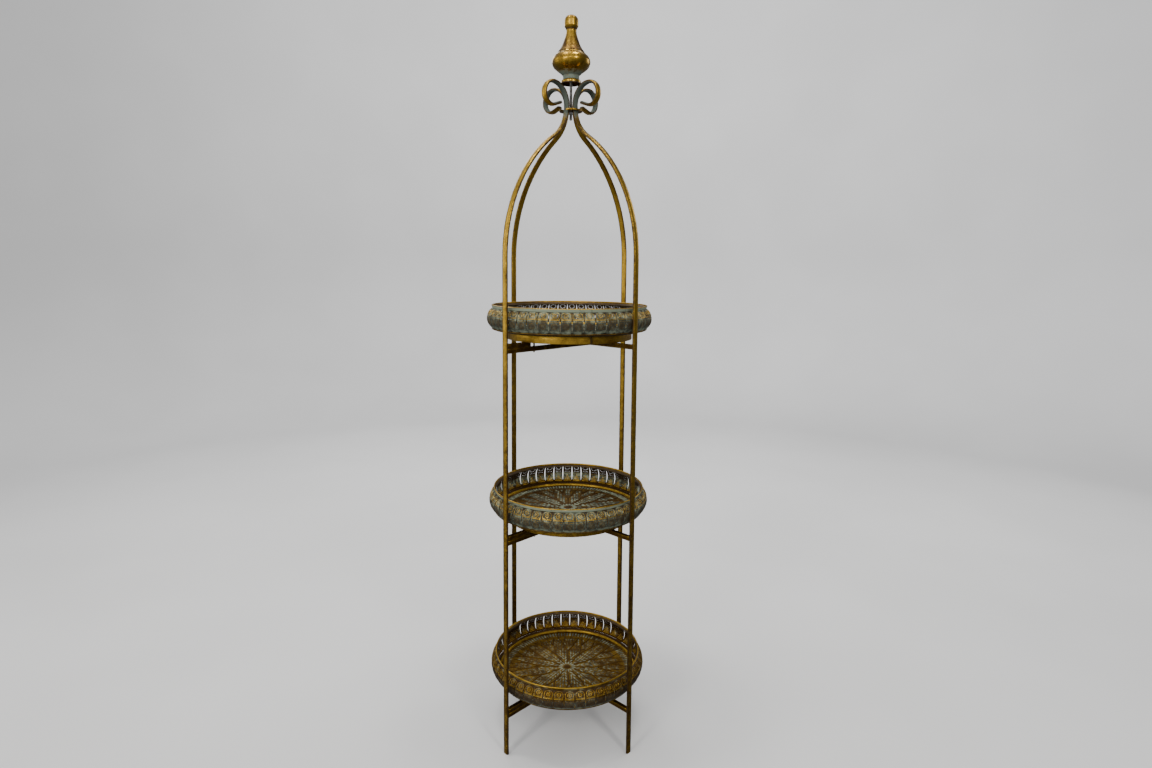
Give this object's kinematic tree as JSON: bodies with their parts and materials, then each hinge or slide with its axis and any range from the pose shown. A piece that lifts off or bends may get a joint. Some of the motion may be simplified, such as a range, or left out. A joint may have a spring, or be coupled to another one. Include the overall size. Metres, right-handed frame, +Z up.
{
  "type": "tiered tray stand",
  "caption": "Tall floor-standing tiered tray stand in antique brass: oval-bar uprights closing in a scrolled dome with a finial, pierced round trays on hoops.",
  "frame": {"origin": "on the floor, on the stand's axis", "axes": "+Z up along the stand's axis; -Y is the front, and the uprights stand on the diagonals between X and Y"},
  "size_m": [0.3648, 0.3648, 1.6],
  "materials": {
    "upright_brass": "antique brass, hand rubbed, darker along the edges, verdigris inside the scrolls",
    "bar_brass": "dark aged brass, unpolished",
    "hoop_brass": "satin antique brass with a verdigris stained seam",
    "tray_brass": "pierced and embossed brass, verdigris in the recesses, gold on the raised edges",
    "finial_brass": "polished antique brass, verdigris at the lower neck",
    "steel": "dull grey zinc plated steel"
  },
  "bodies": {
    "frame": {"upright_front_left": "upright_brass", "upright_front_right": "upright_brass", "upright_rear_left": "upright_brass", "upright_rear_right": "upright_brass", "collar_plate": "bar_brass", "finial_stud": "steel", "stud_nut": "steel", "cross_bar_lower_top": "bar_brass", "cross_bar_upper_top": "bar_brass", "packer_front_top": "bar_brass", "packer_rear_top": "bar_brass", "rest_pin_top": "bar_brass", "support_hoop_top": "hoop_brass", "cross_bar_lower_middle": "bar_brass", "cross_bar_upper_middle": "bar_brass", "packer_front_middle": "bar_brass", "packer_rear_middle": "bar_brass", "rest_pin_middle": "bar_brass", "support_hoop_middle": "hoop_brass", "cross_bar_lower_bottom": "bar_brass", "cross_bar_upper_bottom": "bar_brass", "packer_front_bottom": "bar_brass", "packer_rear_bottom": "bar_brass", "rest_pin_bottom": "bar_brass", "support_hoop_bottom": "hoop_brass"},
    "tray_top": {"tray_top": "tray_brass"},
    "tray_middle": {"tray_middle": "tray_brass"},
    "tray_bottom": {"tray_bottom": "tray_brass"},
    "finial": {"finial_bowl": "finial_brass", "finial_spire": "finial_brass", "finial_insert": "steel"}
  },
  "joints": [
    {"name": "tray_top_lift", "type": "slide", "parent": "frame", "child": "tray_top", "axis": [0, 0, 1], "range_m": [0, 0.125]},
    {"name": "tray_middle_lift", "type": "slide", "parent": "frame", "child": "tray_middle", "axis": [0, 0, 1], "range_m": [0, 0.315]},
    {"name": "tray_bottom_lift", "type": "slide", "parent": "frame", "child": "tray_bottom", "axis": [0, 0, 1], "range_m": [0, 0.307]},
    {"name": "finial_turn", "type": "hinge", "parent": "frame", "child": "finial", "pos_m": [0, 0, 1.4785], "axis": [0, 0, 1], "continuous": true}
  ]
}
